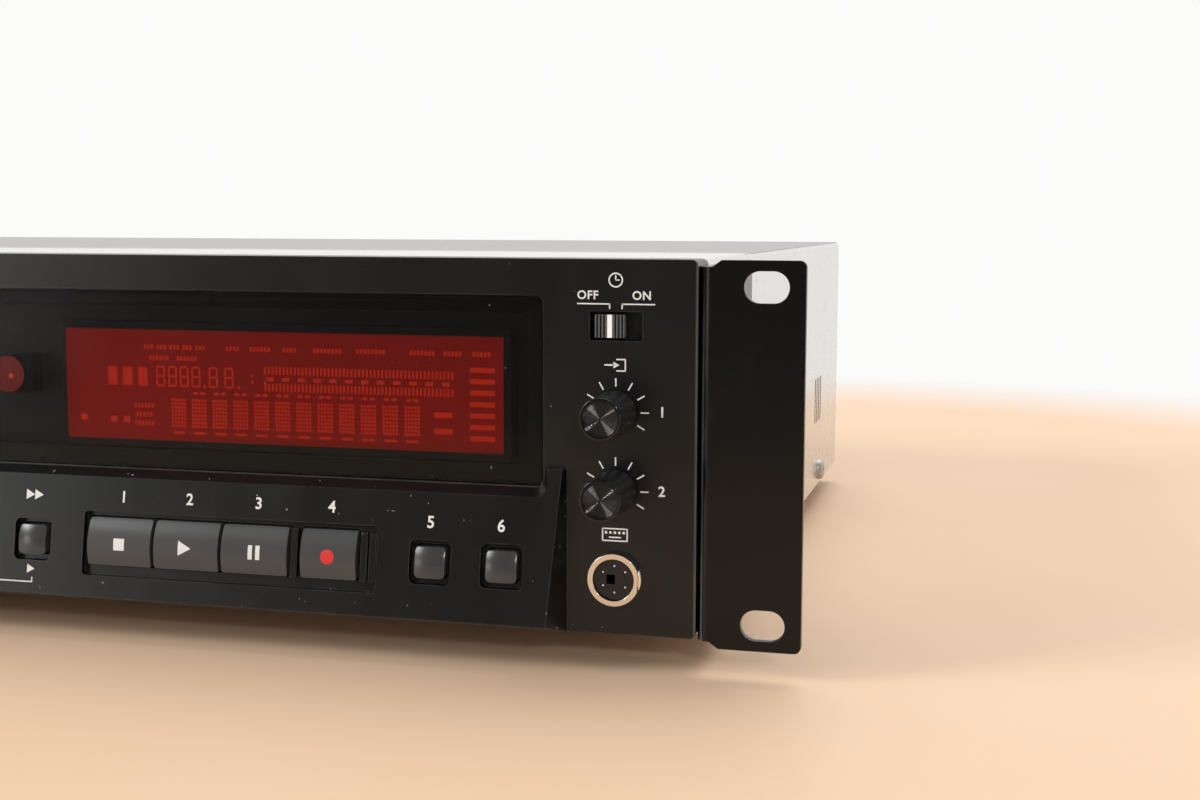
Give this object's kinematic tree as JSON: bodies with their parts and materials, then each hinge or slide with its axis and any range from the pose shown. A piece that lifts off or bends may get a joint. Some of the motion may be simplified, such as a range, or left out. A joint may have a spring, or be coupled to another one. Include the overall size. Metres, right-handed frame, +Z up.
{
  "type": "cd recorder",
  "caption": "Rack-mount disc recorder with a loading tray, smoked display window, transport keys, level knobs and folded rack ears.",
  "frame": {"origin": "centre of the footprint over knobs, ears and rear sockets, on the plane the rubber feet stand on", "axes": "+X to the right seen from the front, +Y from the front bezel to the rear panel, +Z up"},
  "size_m": [0.4826, 0.3086, 0.095],
  "materials": {
    "bezel_plastic": "fine-grained satin black moulding",
    "smoked_acrylic": "clear smoked, polished",
    "red_filter": "transparent red",
    "display_glass": "clear glass over a dark grid",
    "board_green": "green lacquer",
    "board_brown": "plain phenolic board",
    "switch_plastic": "moulded black",
    "sheet_steel": "bare bright zinc-plated sheet",
    "dark_plastic": "moulded dark grey",
    "gear_nylon": "natural white moulding",
    "rod_steel": "ground and polished",
    "black_rubber": "matt",
    "key_plastic": "smooth satin black",
    "knob_plastic": "black with a spun face",
    "nickel": "nickel plated",
    "black_paint": "satin black powder coat",
    "core_steel": "varnished laminations",
    "gold_plate": "gold plated",
    "ribbon_grey": "flexible grey",
    "sink_aluminium": "black anodised"
  },
  "bodies": {
    "chassis": {"front_bezel": "bezel_plastic", "display_window": "smoked_acrylic", "display_filter": "red_filter", "display_tube": "display_glass", "remote_sensor": "red_filter", "front_board": "board_green", "board_switches": "switch_plastic", "level_pots": "sheet_steel", "loading_motor": "sheet_steel", "drive_belt": "black_rubber", "drive_frame": "dark_plastic", "clamp_bridge": "sheet_steel", "keyboard_socket": "nickel", "keyboard_insert": "switch_plastic", "phones_jack": "switch_plastic", "chassis_base": "sheet_steel", "top_cover": "sheet_steel", "rear_panel": "black_paint", "rack_ear_left": "black_paint", "rack_ear_right": "black_paint", "rubber_feet": "black_rubber", "case_screws": "black_paint", "main_board": "board_green", "power_board": "board_brown", "transformer": "core_steel", "ac_inlet": "switch_plastic", "phono_sockets": "gold_plate", "optical_sockets": "switch_plastic", "ribbon_cable": "ribbon_grey", "heat_sink": "sink_aluminium"},
    "tray": {"tray_door": "bezel_plastic", "disc_tray": "dark_plastic"},
    "tray_gear": {"tray_gear": "gear_nylon"},
    "pulley_gear": {"pulley_gear": "gear_nylon"},
    "motor_pulley": {"motor_pulley": "gear_nylon"},
    "traverse": {"traverse_frame": "sheet_steel", "traverse_motors": "sheet_steel", "guide_rods": "rod_steel"},
    "turntable": {"turntable": "gear_nylon"},
    "clamp_puck": {"clamp_puck": "dark_plastic"},
    "pickup": {"optical_pickup": "dark_plastic"},
    "sled_gear": {"sled_gear": "gear_nylon"},
    "sled_pinion": {"sled_pinion": "gear_nylon"},
    "power_button": {"power_button": "key_plastic"},
    "jog_dial": {"jog_dial": "knob_plastic"},
    "phones_knob": {"phones_knob": "knob_plastic"},
    "input_knob_left": {"input_knob_left": "knob_plastic"},
    "input_knob_right": {"input_knob_right": "knob_plastic"},
    "timer_switch": {"timer_switch": "key_plastic"},
    "stop_button": {"stop_button": "key_plastic"},
    "play_button": {"play_button": "key_plastic"},
    "pause_button": {"pause_button": "key_plastic"},
    "record_button": {"record_button": "key_plastic"},
    "search_back_button": {"search_back_button": "key_plastic"},
    "search_forward_button": {"search_forward_button": "key_plastic"},
    "sync_button": {"sync_button": "key_plastic"},
    "input_select_button": {"input_select_button": "key_plastic"},
    "menu_button": {"menu_button": "key_plastic"},
    "display_button": {"display_button": "key_plastic"},
    "open_close_button": {"open_close_button": "key_plastic"}
  },
  "joints": [
    {"name": "tray_slide", "type": "slide", "parent": "chassis", "child": "tray", "axis": [0, -1, 0], "range_m": [0, 0.135]},
    {"name": "tray_gear_turn", "type": "hinge", "parent": "chassis", "child": "tray_gear", "pos_m": [-0.048, -0.1077, 0.0519], "axis": [0, 0, 1], "continuous": true},
    {"name": "pulley_gear_turn", "type": "hinge", "parent": "chassis", "child": "pulley_gear", "pos_m": [-0.0688, -0.1077, 0.0519], "axis": [0, 0, 1], "continuous": true},
    {"name": "motor_pulley_turn", "type": "hinge", "parent": "chassis", "child": "motor_pulley", "pos_m": [-0.102, -0.1077, 0.0479], "axis": [0, 0, 1], "continuous": true},
    {"name": "traverse_tilt", "type": "hinge", "parent": "chassis", "child": "traverse", "pos_m": [-0.086, 0.0243, 0.0524], "axis": [1, 0, 0], "range_deg": [0, 5]},
    {"name": "turntable_spin", "type": "hinge", "parent": "traverse", "child": "turntable", "pos_m": [-0.08, -0.0693, 0.0649], "axis": [0, 0, 1], "continuous": true},
    {"name": "clamp_puck_spin", "type": "hinge", "parent": "chassis", "child": "clamp_puck", "pos_m": [-0.08, -0.0693, 0.0729], "axis": [0, 0, 1], "continuous": true},
    {"name": "pickup_slide", "type": "slide", "parent": "traverse", "child": "pickup", "axis": [0, 1, 0], "range_m": [0, 0.036]},
    {"name": "sled_gear_turn", "type": "hinge", "parent": "traverse", "child": "sled_gear", "pos_m": [-0.12, -0.0157, 0.0569], "axis": [0, 0, 1], "continuous": true},
    {"name": "sled_pinion_turn", "type": "hinge", "parent": "traverse", "child": "sled_pinion", "pos_m": [-0.12, -0.0277, 0.0569], "axis": [0, 0, 1], "continuous": true},
    {"name": "stop_button_press", "type": "slide", "parent": "chassis", "child": "stop_button", "axis": [0, 1, 0], "range_m": [0, 0.0008], "stiffness_N_per_m": 1000},
    {"name": "play_button_press", "type": "slide", "parent": "chassis", "child": "play_button", "axis": [0, 1, 0], "range_m": [0, 0.0008], "stiffness_N_per_m": 1000},
    {"name": "pause_button_press", "type": "slide", "parent": "chassis", "child": "pause_button", "axis": [0, 1, 0], "range_m": [0, 0.0008], "stiffness_N_per_m": 1000},
    {"name": "record_button_press", "type": "slide", "parent": "chassis", "child": "record_button", "axis": [0, 1, 0], "range_m": [0, 0.0008], "stiffness_N_per_m": 1000},
    {"name": "search_back_button_press", "type": "slide", "parent": "chassis", "child": "search_back_button", "axis": [0, 1, 0], "range_m": [0, 0.0008], "stiffness_N_per_m": 1000},
    {"name": "search_forward_button_press", "type": "slide", "parent": "chassis", "child": "search_forward_button", "axis": [0, 1, 0], "range_m": [0, 0.0008], "stiffness_N_per_m": 1000},
    {"name": "sync_button_press", "type": "slide", "parent": "chassis", "child": "sync_button", "axis": [0, 1, 0], "range_m": [0, 0.0008], "stiffness_N_per_m": 1000},
    {"name": "input_select_button_press", "type": "slide", "parent": "chassis", "child": "input_select_button", "axis": [0, 1, 0], "range_m": [0, 0.0008], "stiffness_N_per_m": 1000},
    {"name": "menu_button_press", "type": "slide", "parent": "chassis", "child": "menu_button", "axis": [0, 1, 0], "range_m": [0, 0.0008], "stiffness_N_per_m": 1000},
    {"name": "display_button_press", "type": "slide", "parent": "chassis", "child": "display_button", "axis": [0, 1, 0], "range_m": [0, 0.0008], "stiffness_N_per_m": 1000},
    {"name": "open_close_button_press", "type": "slide", "parent": "chassis", "child": "open_close_button", "axis": [0, 1, 0], "range_m": [0, 0.0008], "stiffness_N_per_m": 1000},
    {"name": "power_button_press", "type": "slide", "parent": "chassis", "child": "power_button", "axis": [0, 1, 0], "range_m": [0, 0.002]},
    {"name": "timer_switch_slide", "type": "slide", "parent": "chassis", "child": "timer_switch", "axis": [1, 0, 0], "range_m": [0, 0.0027]},
    {"name": "jog_dial_turn", "type": "hinge", "parent": "chassis", "child": "jog_dial", "pos_m": [0.0061, -0.1397, 0.0253], "axis": [0, -1, 0], "continuous": true},
    {"name": "phones_knob_turn", "type": "hinge", "parent": "chassis", "child": "phones_knob", "pos_m": [-0.1985, -0.1397, 0.0423], "axis": [0, -1, 0], "range_deg": [-150, 150]},
    {"name": "input_knob_left_turn", "type": "hinge", "parent": "chassis", "child": "input_knob_left", "pos_m": [0.1985, -0.1397, 0.0604], "axis": [0, -1, 0], "range_deg": [-150, 150]},
    {"name": "input_knob_right_turn", "type": "hinge", "parent": "chassis", "child": "input_knob_right", "pos_m": [0.1985, -0.1397, 0.0423], "axis": [0, -1, 0], "range_deg": [-150, 150]}
  ],
  "couplings": [
    {"joint": "tray_gear_turn", "follows": "tray_slide", "rad_per_m": -104.17},
    {"joint": "pulley_gear_turn", "follows": "tray_slide", "rad_per_m": 347.22},
    {"joint": "motor_pulley_turn", "follows": "tray_slide", "rad_per_m": 1041.7},
    {"joint": "clamp_puck_spin", "follows": "turntable_spin", "ratio": 1},
    {"joint": "sled_gear_turn", "follows": "pickup_slide", "rad_per_m": 125},
    {"joint": "sled_pinion_turn", "follows": "pickup_slide", "rad_per_m": -250}
  ]
}
